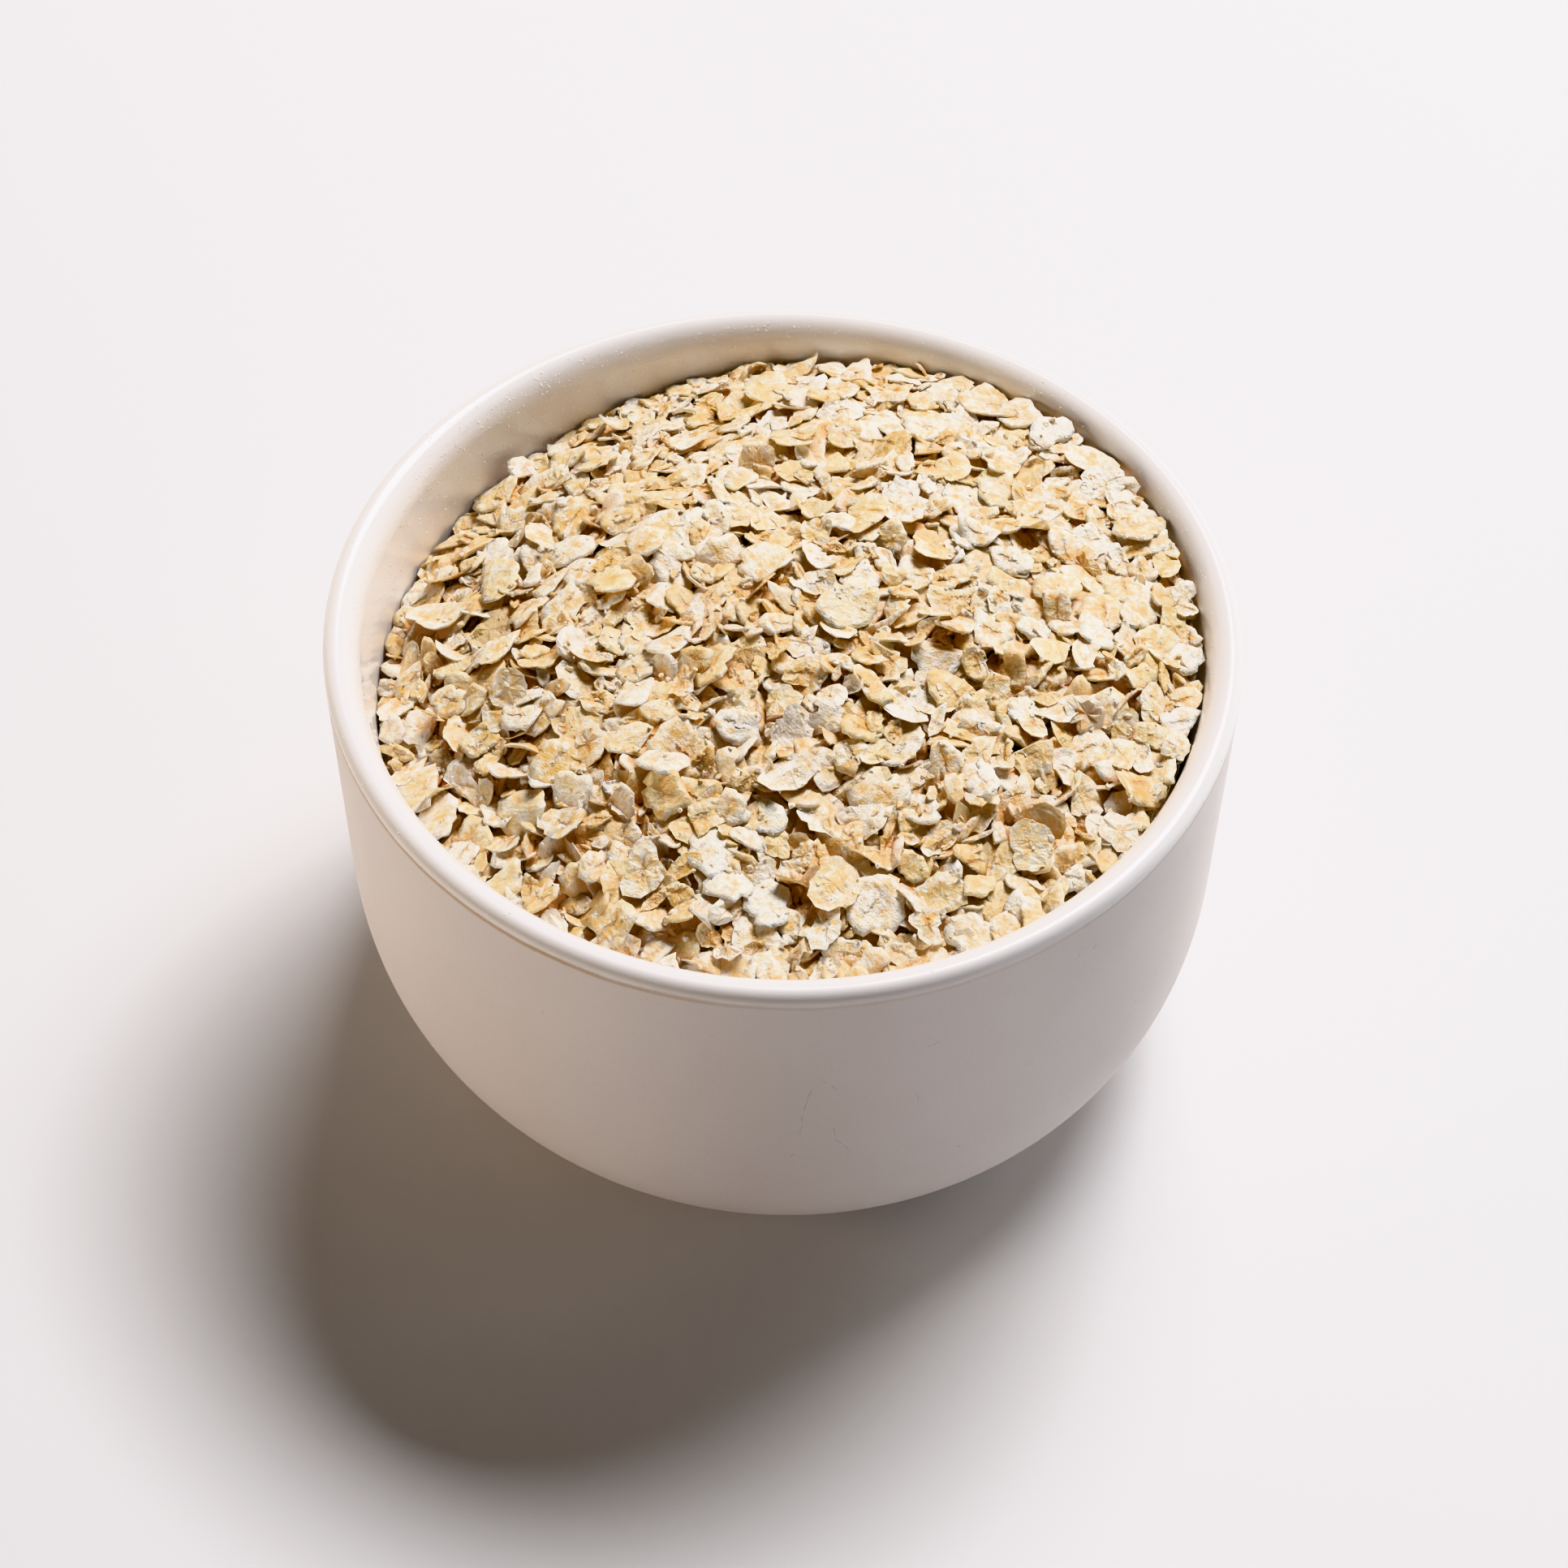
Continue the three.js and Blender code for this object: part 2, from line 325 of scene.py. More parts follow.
clay = {
    "inside": colour(241, 237, 234),
    "outside": colour(222, 214, 209),
    "cloud": colour(213, 203, 197),
    "tan": colour(186, 158, 122),
    "bisque": colour(214, 198, 180),
    "scratch": colour(146, 140, 138),
    "pit": colour(150, 130, 116),
    # the bare line under the lip, in millimetres from the lip's top, and where round the bowl it shows most
    "tanAt": -2.75, "tanWidth": 0.36, "tanTowards": math.radians(219), "tanLeast": 0.3,
    # in metres
    "scratchWidth": 0.00013, "scratchSway": 0.0009, "footTop": (0.0009, 0.0012),
    # as a part of the noise's range
    "hairWidth": 0.0022,
    "roughness": {"bare": 0.42, "glazed": 0.17}, "pitScale": 420.0,
}
# scale, detail and roughness of the noises
clayNoises = {
    "wander": (90, 3), "fine": (900, 2), "sand": (3200, 2, 0.6), "broad": (60, 2), "cloud": (35, 3),
    "sparse": (120, 2), "hair": (130, 3, 0.45), "hairPlaces": (75, 2), "sway": (500, 2), "faint": (700, 2),
}
# hairline scratches on the front of the wall, as millimetres along X and up: from, to
scratches = (
    ((4.1, 50.5), (3.0, 45.5)), ((3.0, 45.5), (2.8, 38.6)), ((2.3, 35.6), (1.5, 34.8)),
    ((5.5, 52.0), (9.3, 47.5)), ((6.7, 42.0), (7.2, 38.5)), ((7.2, 38.5), (9.1, 35.2)),
    ((18.0, 56.0), (21.7, 57.5)), ((30.6, 43.0), (35.7, 44.6)), ((16.8, 47.8), (17.6, 44.4)),
    ((-10.2, 61.8), (-6.9, 60.6)),
)


def scratchMask(start, place, look):
    # 1 on a scratch: how far a point of the front is from each line, the shortest counts
    x, y, z = place.parts()
    sway = (look["sway"] - 0.5) * clay["scratchSway"]
    x, z = x + sway, z + sway
    nearest = None
    for (x0, z0), (x1, z1) in scratches:
        runX, runZ = (x1 - x0) * mm, (z1 - z0) * mm
        length = runX ** 2 + runZ ** 2
        offX, offZ = x - x0 * mm, z - z0 * mm
        share = start.node("ShaderNodeClamp", None, {"Value": (offX * runX + offZ * runZ) / length})
        apartX, apartZ = offX - share * runX, offZ - share * runZ
        apart = start.maths("SQRT", apartX * apartX + apartZ * apartZ)
        nearest = apart if nearest is None else start.maths("MINIMUM", nearest, apart)
    front = y.below(-0.002, 0.0)
    return nearest.below(0.0, clay["scratchWidth"]) * front * look["faint"].above(0.42, 0.6)


def clayMaterial():
    # a glazed inside and lip, a matt sandy outside, and between them a line of bare clay
    material, start, shader = newMaterial("glazedStoneware", {"IOR": 1.5, "Specular IOR Level": 0.5})
    place = objectPlace(start)
    x, y, height = place.parts()
    look = {name: noise(start, place, *values) for name, values in clayNoises.items()}
    sand, cloud, fine = look["sand"], look["cloud"], look["fine"] - 0.5
    line = pointValue(start, "fromLip") + (look["wander"] - 0.5) * 0.5 + fine * 0.2
    glazed = line.above(clay["tanAt"] - 0.1, clay["tanAt"] + 0.25)
    patchy = 0.6 + look["broad"] * 0.45 + (sand - 0.5) * 0.5
    # the bare line shows most at the front left
    towards = clay["tanTowards"]
    facing = (x * math.cos(towards) + y * math.sin(towards)) / (bowl["radius"] * mm)
    shown = clay["tanLeast"] + facing.above(0.6, 0.95) * (1 - clay["tanLeast"])
    onLine = abs(line - clay["tanAt"]).below(clay["tanWidth"] * 0.3, clay["tanWidth"] * 2.0)
    tan = onLine * patchy.above(0.1, 1.0) * shown
    outside = (cloud.above(0.35, 0.7) * 0.35).mix(clay["outside"], clay["cloud"])
    outside = (sand.above(0.6, 0.8) * 0.25).mix(outside, clay["scratch"])
    shade = tan.mix(glazed.mix(outside, clay["inside"]), clay["tan"])
    cells = start.node("ShaderNodeTexVoronoi", None, {"Vector": place, "Scale": clay["pitScale"]})
    pits = cells.below(0.06, 0.16) * look["sparse"].above(0.64, 0.76)
    shade = (pits * 0.4).mix(shade, clay["pit"])
    scratched = scratchMask(start, place, look)
    # fine hairs where a noise passes its middle value
    hair = abs(look["hair"] - 0.5).below(0.0, clay["hairWidth"]) * look["hairPlaces"].above(0.6, 0.68)
    shade = ((scratched * 0.5 + hair * 0.3) * (1 - glazed)).mix(shade, clay["scratch"])
    shade = height.below(*clay["footTop"]).mix(shade, clay["bisque"])
    plug(shade, shader, "Base Color")
    rough = clay["roughness"]["bare"] + cloud * 0.12 + sand * 0.08
    plug(rough * (1 - glazed) + glazed * clay["roughness"]["glazed"], shader, "Roughness")
    grit = (sand * 0.05 + fine * 0.05) * (1 - glazed)
    emboss(look["broad"] * 0.6 + grit - pits * 0.2 - scratched * 0.1, shader, 0.3, 0.0006)
    return material


dress(makeBowl(), clayMaterial(), "bowl")


heap = {
    "gap": 0.4, "radius": 54.2, "top": 77.3,
    # level at the wall
    "edge": 62.6, "lean": 5.3, "saddle": 1.9, "saddleTowards": math.radians(62),
    "crown": 74.0, "crownBack": 0.24,
    # lumps: height, lengths along X and Y, phases
    "broad": (0.8, 6.1, 7.3, 1.3, 0.6), "small": (0.5, 3.9, 4.7, 2.0), "lumpFade": 6,
    "drift": 0.7, "driftTowards": math.radians(110), "driftWidth": math.radians(30), "driftPower": 4,
}


def edgeLevel(angle):
    # level of the oats along the wall: a lean towards +X plus a two-fold wave
    lean = heap["lean"] * np.cos(angle)
    return heap["edge"] + lean + heap["saddle"] * np.cos(2 * (angle - heap["saddleTowards"]))


def heapHeight(x, y):
    # a crown over the level at the wall, with soft lumps that fade towards the wall
    reach = np.minimum(1, np.hypot(x, y) / heap["radius"])
    edge = edgeLevel(np.arctan2(y, x))
    dome = (1 - reach ** 2) * (1 + heap["crownBack"] * y / heap["radius"])
    tall, alongX, alongY, phaseX, phaseY = heap["broad"]
    lumps = tall * np.sin(x / alongX + phaseX) * np.cos(y / alongY + phaseY)
    tall, alongX, alongY, phase = heap["small"]
    lumps = lumps + tall * np.sin(x / alongX - y / alongY + phase)
    return edge + (heap["crown"] - edge) * dome + lumps * (1 - reach ** heap["lumpFade"])


core = {
    "sink": 4.6, "edgeSink": 1.2, "edgePower": 10, "bottom": 6.4,
    "rings": 44, "around": 132, "side": 10,
}


def coreHeight(x, y):
    # under the heap by the sink, and less deep near the wall, where flakes can't fill the last gap
    near = np.minimum(1, np.hypot(x, y) / heap["radius"]) ** core["edgePower"]
    return heapHeight(x, y) - core["sink"] * (1 - near) - core["edgeSink"] * near


def makeCore():
    # a disc of rings under the flakes, then rings down along the bowl's inside to one point below
    count = core["around"]
    angle = np.arange(count) * fullTurn / count
    ringRadius = np.linspace(0, 1, core["rings"] + 1)[1:] * heap["radius"]
    radius, turn = np.meshgrid(ringRadius, angle, indexing="ij")
    x, y = radius * np.cos(turn), radius * np.sin(turn)
    top = np.stack([x, y, coreHeight(x, y)], -1)
    share = np.linspace(1, 0, core["side"] + 1)[1:, None]
    z = core["bottom"] + (top[-1, :, 2] - core["bottom"]) * share
    wall = np.minimum(innerRadius(z - heap["gap"]) - heap["gap"], heap["radius"])
    side = np.stack([wall * np.cos(angle), wall * np.sin(angle), z], -1)
    rows = np.concatenate([top, side])
    rows[..., :2] *= outOfRound(angle)[None, :, None]
    middle = [[0, 0, heapHeight(0, 0) - core["sink"]], [0, 0, core["bottom"]]]
    points = np.concatenate([rows.reshape(-1, 3), middle])
    crown = fan(len(points) - 2, 0, count)
    under = fan(len(points) - 1, (len(rows) - 1) * count, count)[:, [0, 2, 1]]
    quads = ringQuads(len(rows), count)[:, [0, 3, 2, 1]]
    return meshObject("oatsCore", points, [quads, np.concatenate([crown, under])])


# Kinds of flake. share: part of the heap. length: range in mm. aspect: width as a share of it. thick: at
# the middle and at the edge. ragged: unevenness of the outline. cut: how many are broken off along a
# line. curl and dish: bend of the whole flake and hollow in its middle. rough: how far a flake stays
# from lying still on what is below. wedged: how many stand between the others. tone, flour: ranges
# that the material reads. crumpled: how many show flat facets.
kinds = {
    "wholeFlakes": {
        "share": 0.15, "length": (4.8, 8.4), "aspect": (0.66, 0.95), "thick": (0.36, 0.24),
        "sides": 26, "ragged": 0.04, "cut": 0.3, "curl": 0.03, "dish": 0.18,
        "rough": 0.18, "wedged": 0.06, "crumpled": 0.25, "tone": (0.1, 0.9), "flour": (0.1, 1.0),
    },
    "brokenFlakes": {
        "share": 0.33, "length": (3.4, 7.2), "aspect": (0.6, 0.98), "thick": (0.34, 0.22),
        "sides": 22, "ragged": 0.055, "cut": 1.0, "curl": 0.045, "dish": 0.16,
        "rough": 0.26, "wedged": 0.14, "crumpled": 0.5, "tone": (0.05, 1.0), "flour": (0.0, 1.0),
    },
    "curledFlakes": {
        "share": 0.16, "length": (4.0, 6.8), "aspect": (0.5, 0.8), "thick": (0.36, 0.24),
        "sides": 24, "ragged": 0.05, "cut": 0.4, "curl": 0.095, "dish": 0.22,
        "rough": 0.32, "wedged": 0.2, "crumpled": 0.4, "tone": (0.1, 1.0), "flour": (0.0, 1.0),
    },
    "branFlakes": {
        "share": 0.05, "length": (3.6, 6.0), "aspect": (0.55, 0.85), "thick": (0.3, 0.22),
        "sides": 22, "ragged": 0.045, "cut": 0.6, "curl": 0.05, "dish": 0.12,
        "rough": 0.24, "wedged": 0.14, "crumpled": 0.2, "tone": (0.0, 1.0), "flour": (0.0, 0.6),
    },
    "sliverFlakes": {
        "share": 0.17, "length": (2.8, 6.2), "aspect": (0.24, 0.45), "thick": (0.4, 0.28),
        "sides": 16, "ragged": 0.05, "cut": 0.4, "curl": 0.045, "dish": 0.06,
        "rough": 0.36, "wedged": 0.36, "crumpled": 0.5, "tone": (0.1, 1.0), "flour": (0.0, 0.9),
    },
    "chips": {
        "share": 0.28, "length": (1.2, 3.3), "aspect": (0.5, 0.95), "thick": (0.4, 0.28),
        "sides": 10, "ragged": 0.09, "cut": 0.7, "curl": 0.04, "dish": 0.06,
        "rough": 0.4, "wedged": 0.16, "crumpled": 0.7, "tone": (0.0, 1.0), "flour": (0.0, 1.0),
    },
}
# All outlines. spread: of the angles. square: power of the oval, 2 for an ellipse. waves: slow ones.
# uneven: limits of the unevenness. notched, notchTo: how many points are set in, and to what share.
# away: how far a break is from the middle, as a share of half the length.
outline = {
    "spread": 0.3, "square": (1.8, 2.9), "waves": 5, "waveHeight": 0.09, "waveFade": 0.6, "waveTurn": 6.28,
    "uneven": (-0.14, 0.1), "notched": 0.04, "notchTo": 0.8, "least": 0.35,
    "secondBreak": 0.7, "away": (0.2, 0.75), "breakUneven": 0.06, "facing": 0.05,
}


def flakeOutlines(kind, count, rng):
    # radii at about even angles: an oval, more or less square, times a few slow waves and a fine
    # unevenness, then notches, then up to two straight breaks some way from the middle
    sides = kind["sides"]
    angle = unevenAngles(count, sides, outline["spread"], rng)
    half = rng.uniform(*kind["length"], (count, 1)) / 2
    aspect = rng.uniform(*kind["aspect"], (count, 1))
    square = rng.uniform(*outline["square"], (count, 1))
    oval = np.abs(np.cos(angle)) ** square + np.abs(np.sin(angle) / aspect) ** square
    oval = half / oval ** (1 / square)
    slow = np.zeros((count, sides))
    for wave in range(1, outline["waves"] + 1):
        tall = rng.normal(0, outline["waveHeight"] / wave ** outline["waveFade"], (count, 1))
        slow += tall * np.cos(wave * angle + rng.uniform(0, outline["waveTurn"], (count, 1)))
    radius = oval * (1 + slow + rng.normal(0, kind["ragged"], (count, sides)).clip(*outline["uneven"]))
    notched = rng.random((count, sides)) < outline["notched"]
    radius = np.where(notched, radius * outline["notchTo"], radius)
    for chance in (kind["cut"], kind["cut"] * outline["secondBreak"]):
        facing = np.cos(angle - rng.uniform(0, fullTurn, (count, 1)))
        away = half * rng.uniform(*outline["away"], (count, 1))
        away = away * (1 + rng.normal(0, outline["breakUneven"], (count, sides)))
        line = np.where(facing > outline["facing"], away / np.maximum(facing, outline["facing"]), farAway)
        radius = np.where(rng.random((count, 1)) < chance, np.minimum(radius, line), radius)
    return angle, radius.clip(outline["least"], None)


def dealFlakes(rng):
    # all the flakes that might be needed, shuffled
    shares = np.array([kind["share"] for kind in kinds.values()])
    counts = (shares / shares.sum() * pile["most"]).astype(int)
    deck = []
    for (name, kind), count in zip(kinds.items(), counts):
        angle, radius = flakeOutlines(kind, count, rng)
        most = 2 * kind["curl"]
        curl = rng.normal(0, kind["curl"], (count, 3)).clip(-most, most)
        dish = rng.normal(0, kind["dish"], count)
        wedged = rng.random(count) < kind["wedged"]
        for values in zip(angle, radius, curl, dish, wedged):
            deck.append({"kind": name, **dict(zip(("angle", "radius", "curl", "dish", "wedged"), values))})
    return [deck[i] for i in rng.permutation(len(deck))]


# How a plate comes to rest. middle: a highest point this near the middle carries it level. beside: least
# distance from the line that it turns about. turns: most of them.
balance = {"middle": 0.15, "beside": 0.05, "turns": 8, "least": 1e-6}


def carriedSlopes(x, y, z):
    # slopes of a plate at rest on the points x, y, z with its weight over 0, 0. It tips over the highest
    # point towards the middle until it meets a second, then turns about the two until it meets a third,
    # and goes on with another pair while the three don't surround the middle.
    first = int(np.argmax(z))
    away = math.hypot(x[first], y[first])
    if away < balance["middle"]:
        return 0.0, 0.0
    least = balance["beside"]
    inward = -((x - x[first]) * x[first] + (y - y[first]) * y[first]) / away
    tilt = np.where(inward > least, (z - z[first]) / np.maximum(inward, least), -farAway)
    second = int(np.argmax(tilt))
    for turn in range(balance["turns"]):
        alongX, alongY = x[second] - x[first], y[second] - y[first]
        apart = max(math.hypot(alongX, alongY), balance["least"])
        alongX, alongY = alongX / apart, alongY / apart
        besideX, besideY = -alongY, alongX
        if x[first] * besideX + y[first] * besideY > 0:
            besideX, besideY = -besideX, -besideY
        rise = (z[second] - z[first]) / apart
        along = (x - x[first]) * alongX + (y - y[first]) * alongY
        beside = (x - x[first]) * besideX + (y - y[first]) * besideY
        fall = np.where(beside > least, (z - z[first] - rise * along) / np.maximum(beside, least), -farAway)
        third = int(np.argmax(fall))
        if fall[third] <= -farAway:
            return 0.0, 0.0
        slopeX = rise * alongX + fall[third] * besideX
        slopeY = rise * alongY + fall[third] * besideY
        held = True
        for near, far in ((first, second), (second, first)):
            edgeX, edgeY = x[third] - x[near], y[third] - y[near]
            middleSide = edgeX * -y[near] - edgeY * -x[near]
            insideSide = edgeX * (y[far] - y[near]) - edgeY * (x[far] - x[near])
            if middleSide * insideSide < 0:
                first, second = near, third
                held = False
                break
        if held:
            break
    return slopeX, slopeY


# The pile, in mm. cell, half: of the height map. tries, look: places tried for a flake, and cells around
# each. most, patience: flakes dealt, and how many in a row may find no place. inset, judged: where a flake
# may start, and what the printed line measures. under: how far below a rim the wall is read. clear: from
# the wall. margin, fewest: cells read for a flake. above, least: of the wanted height. carried, rest,
# settle, steepest: how a flake lies. level: slope that counts as none. blur, shaded, bare: of the depth
# that the material paints as shade, bare adding painted shade on steep flakes. calm: how much stiller
# flakes lie towards one side.
pile = {
    "cell": 0.4, "tries": 10, "look": 3, "clear": 0.05, "most": 9000, "patience": 60,
    "half": 58, "inset": 0.7, "under": 0.5, "margin": 0.3, "fewest": 4, "judged": 54,
    "above": -0.6, "least": 0.2, "carried": 0.5, "rest": 0.82, "settle": 0.25, "steepest": 1.1,
    "wedgedSteep": (0.55, 1.1), "wedgedSunk": (-0.45, 0.15), "wedgedSpin": 0.3, "level": 1e-3,
    "blur": 24, "shaded": 2.4, "bare": 0.55,
    "calm": 0.45, "calmTowards": math.radians(78), "calmFrom": 0.15,
}


def wedgedLean(nearZ, wide, rng):
    # steep, towards any side, with its middle near the ground; gives slopes, level and spin
    steep, towards = math.tan(rng.uniform(*pile["wedgedSteep"])), rng.uniform(0, fullTurn)
    level = np.median(nearZ) + wide * rng.uniform(*pile["wedgedSunk"])
    return steep * math.cos(towards), steep * math.sin(towards), level, rng.normal(0, pile["wedgedSpin"])


def restingLean(nearX, nearY, nearZ, rough, rng):
    # between the plane that would carry it and the mean plane of what is below, plus a random lean
    carriedX, carriedY = carriedSlopes(nearX, nearY, nearZ)
    table = np.stack([nearX, nearY, np.ones(len(nearX))], 1)
    meanX, meanY = np.linalg.lstsq(table, nearZ, rcond=None)[0][:2]
    share = pile["carried"]
    slopeX = carriedX * share + meanX * (1 - share) + rng.normal(0, rough)
    slopeY = carriedY * share + meanY * (1 - share) + rng.normal(0, rough)
    steep = math.hypot(slopeX, slopeY)
    if steep > pile["steepest"]:
        slopeX, slopeY = slopeX * pile["steepest"] / steep, slopeY * pile["steepest"] / steep
    level = np.quantile(nearZ - slopeX * nearX - slopeY * nearY, pile["rest"])
    return slopeX, slopeY, level - pile["settle"] * rng.random(), rng.uniform(0, fullTurn)


def flakeAxes(slopeX, slopeY, spin):
    # columns: along, across and up from the flake; with no spin its length is across the slope
    up = np.array([-slopeX, -slopeY, 1.0])
    up /= np.linalg.norm(up)
    uphill = np.array([1.0, 0.0, 0.0])
    if math.hypot(slopeX, slopeY) > pile["level"]:
        uphill = np.array([slopeX, slopeY, slopeX ** 2 + slopeY ** 2])
    uphill /= np.linalg.norm(uphill)
    first = math.cos(spin) * np.cross(up, uphill) + math.sin(spin) * uphill
    return np.stack([first, np.cross(up, first), up], 1)


def layFlake(flake, x, y, ground, rng):
    # rests one flake on the ground (height map and its line of x or y) at x, y, and raises the ground
    # under it; gives its place and axes, or None where it has no room
    height, line = ground
    kind = kinds[flake["kind"]]
    angle, radius, curl = flake["angle"], flake["radius"], flake["curl"]
    wide = radius.max() + pile["margin"]
    i0, i1 = np.searchsorted(line, [x - wide, x + wide])
    j0, j1 = np.searchsorted(line, [y - wide, y + wide])
    dx, dy = np.meshgrid(line[i0:i1] - x, line[j0:j1] - y, indexing="ij")
    patch = height[i0:i1, j0:j1]
    near = np.hypot(dx, dy) < radius.mean()
    if near.sum() < pile["fewest"]:
        return None
    # the flakes lie calmer towards the back
    back = (x * math.cos(pile["calmTowards"]) + y * math.sin(pile["calmTowards"])) / heap["radius"]
    calm = 1 - pile["calm"] * min(max(back + pile["calmFrom"], 0), 1)
    if flake["wedged"] and rng.random() < calm:
        lean = wedgedLean(patch[near], radius.mean(), rng)
    else:
        lean = restingLean(dx[near], dy[near], patch[near], kind["rough"] * calm, rng)
    slopeX, slopeY, level, spin = lean
    axes = flakeAxes(slopeX, slopeY, spin)
    # kept off the wall
    rim = axes[:, :2] @ np.stack([radius * np.cos(angle), radius * np.sin(angle)])
    if level + rim[2].max() > heap["top"]:
        return None
    wall = innerRadius(level + rim[2] - pile["under"])
    over = (np.hypot(rim[0] + x, rim[1] + y) - wall).max() + pile["clear"]
    if over > 0:
        away = math.hypot(x, y)
        level -= (slopeX * x + slopeY * y) * over / away
        x, y = x - x * over / away, y - y * over / away
        dx, dy = np.meshgrid(line[i0:i1] - x, line[j0:j1] - y, indexing="ij")
    rise = slopeX * dx + slopeY * dy
    u = dx * axes[0, 0] + dy * axes[1, 0] + rise * axes[2, 0]
    v = dx * axes[0, 1] + dy * axes[1, 1] + rise * axes[2, 1]
    allowed = np.interp(np.arctan2(v, u), angle, radius, period=fullTurn)
    under = np.hypot(u, v) < allowed
    thick = kind["thick"][0] / axes[2, 2]
    bend = curl[0] * u * u + curl[1] * v * v + curl[2] * u * v
    patch[under] = np.maximum(patch[under], (level + rise + bend + thick)[under])
    return np.array([x, y, level + thick / 2]), axes


def wantedHeight(x, y):
    # the heap's form, with flakes that have gathered against one part of the wall
    reach, turn = np.hypot(x, y), np.arctan2(y, x)
    off = np.angle(np.exp(1j * (turn - heap["driftTowards"]))) / heap["driftWidth"]
    near = (reach / heap["radius"]).clip(0, 1) ** heap["driftPower"]
    return heapHeight(x, y) + pile["above"] + heap["drift"] * np.exp(-off ** 2) * near


def pileFlakes(rng):
    # lays the flakes one by one where the heap lacks most, until no place lacks much
    cells = int(pile["half"] / pile["cell"])
    line = np.arange(-cells, cells + 1) * pile["cell"]
    gridX, gridY = np.meshgrid(line, line, indexing="ij")
    reach = np.hypot(gridX, gridY)
    wanted = wantedHeight(gridX, gridY)
    wall = innerRadius(wanted - pile["under"])
    height = np.where(reach < wall, coreHeight(gridX, gridY), wanted)
    inside = np.argwhere(reach < wall - pile["inset"])
    span = np.arange(-pile["look"], pile["look"] + 1)
    lookX, lookY = np.meshgrid(span, span, indexing="ij")
    laid, idle = [], 0
    for flake in dealFlakes(rng):
        tries = inside[rng.integers(0, len(inside), pile["tries"])]
        around = tries[:, 0, None, None] + lookX, tries[:, 1, None, None] + lookY
        lack = (wanted[around] - height[around]).mean((1, 2))
        best = tries[np.argmax(lack)]
        if lack.max() < pile["least"]:
            idle += 1
            if idle > pile["patience"]:
                break
            continue
        idle = 0
        placed = layFlake(flake, line[best[0]], line[best[1]], (height, line), rng)
        if placed:
            flake["place"], flake["axes"] = placed
            laid.append(flake)
    left = (wanted - height)[reach < pile["judged"]]
    print(f"pile: {len(laid)} flakes, short by {left.mean():.2f} mm, spread {left.std():.2f} mm")
    return laid, (height, line)


def depthBelow(points, ground):
    # how far points are under the smoothed top of the pile, 1 at the depth called shaded, for the painted
    # shade in the pile's gaps; each round of smoothing makes a cell the mean of its four neighbours and
    # twice itself
    height, line = ground
    smooth = height.copy()
    for turn in range(pile["blur"]):
        beside = smooth[:-2, 1:-1] + smooth[2:, 1:-1] + smooth[1:-1, :-2] + smooth[1:-1, 2:]
        smooth[1:-1, 1:-1] = (beside + 2 * smooth[1:-1, 1:-1]) / 6
    at = np.searchsorted(line, points[..., :2]).clip(0, len(line) - 1)
    return ((smooth[at[..., 0], at[..., 1]] - points[..., 2]) / pile["shaded"]).clip(0, 1)


# rows of points of a flake. share: of the radius. side: 1 above, -1 below. thick: 0 middle, 1 edge.
# hollow: share of the dish. relief: random, in mm. uneven: of the radius.
flakeRows = (
    {"share": 1.0, "side": 1, "thick": 1, "hollow": 0.0, "relief": 0.06, "uneven": 0},
    {"share": 0.66, "side": 1, "thick": 0, "hollow": 0.7, "relief": 0.09, "uneven": 0.12},
    {"share": 0.0, "side": 1, "thick": 0, "hollow": -1.0, "relief": 0.07, "uneven": 0},
    {"share": 0.97, "side": -1, "thick": 1, "hollow": 0.0, "relief": 0.04, "uneven": 0},
)
# millimetres in one unit of a flake's flat map
mapUnit = 10


def flakeFaces(sides):
    # point numbers of one flake: the side and the outer top as quads, the inner top as triangles, and
    # one face below
    k = np.arange(sides)
    after = (k + 1) % sides
    ring, top, low = sides, 2 * sides, 2 * sides + 1
    quads = np.concatenate([
        np.stack([low + k, low + after, after, k], 1),
        np.stack([k, after, ring + after, ring + k], 1),
    ])
    triangles = np.stack([ring + k, ring + after, np.full(sides, top)], 1)
    return quads, triangles, (low + k)[None, ::-1]


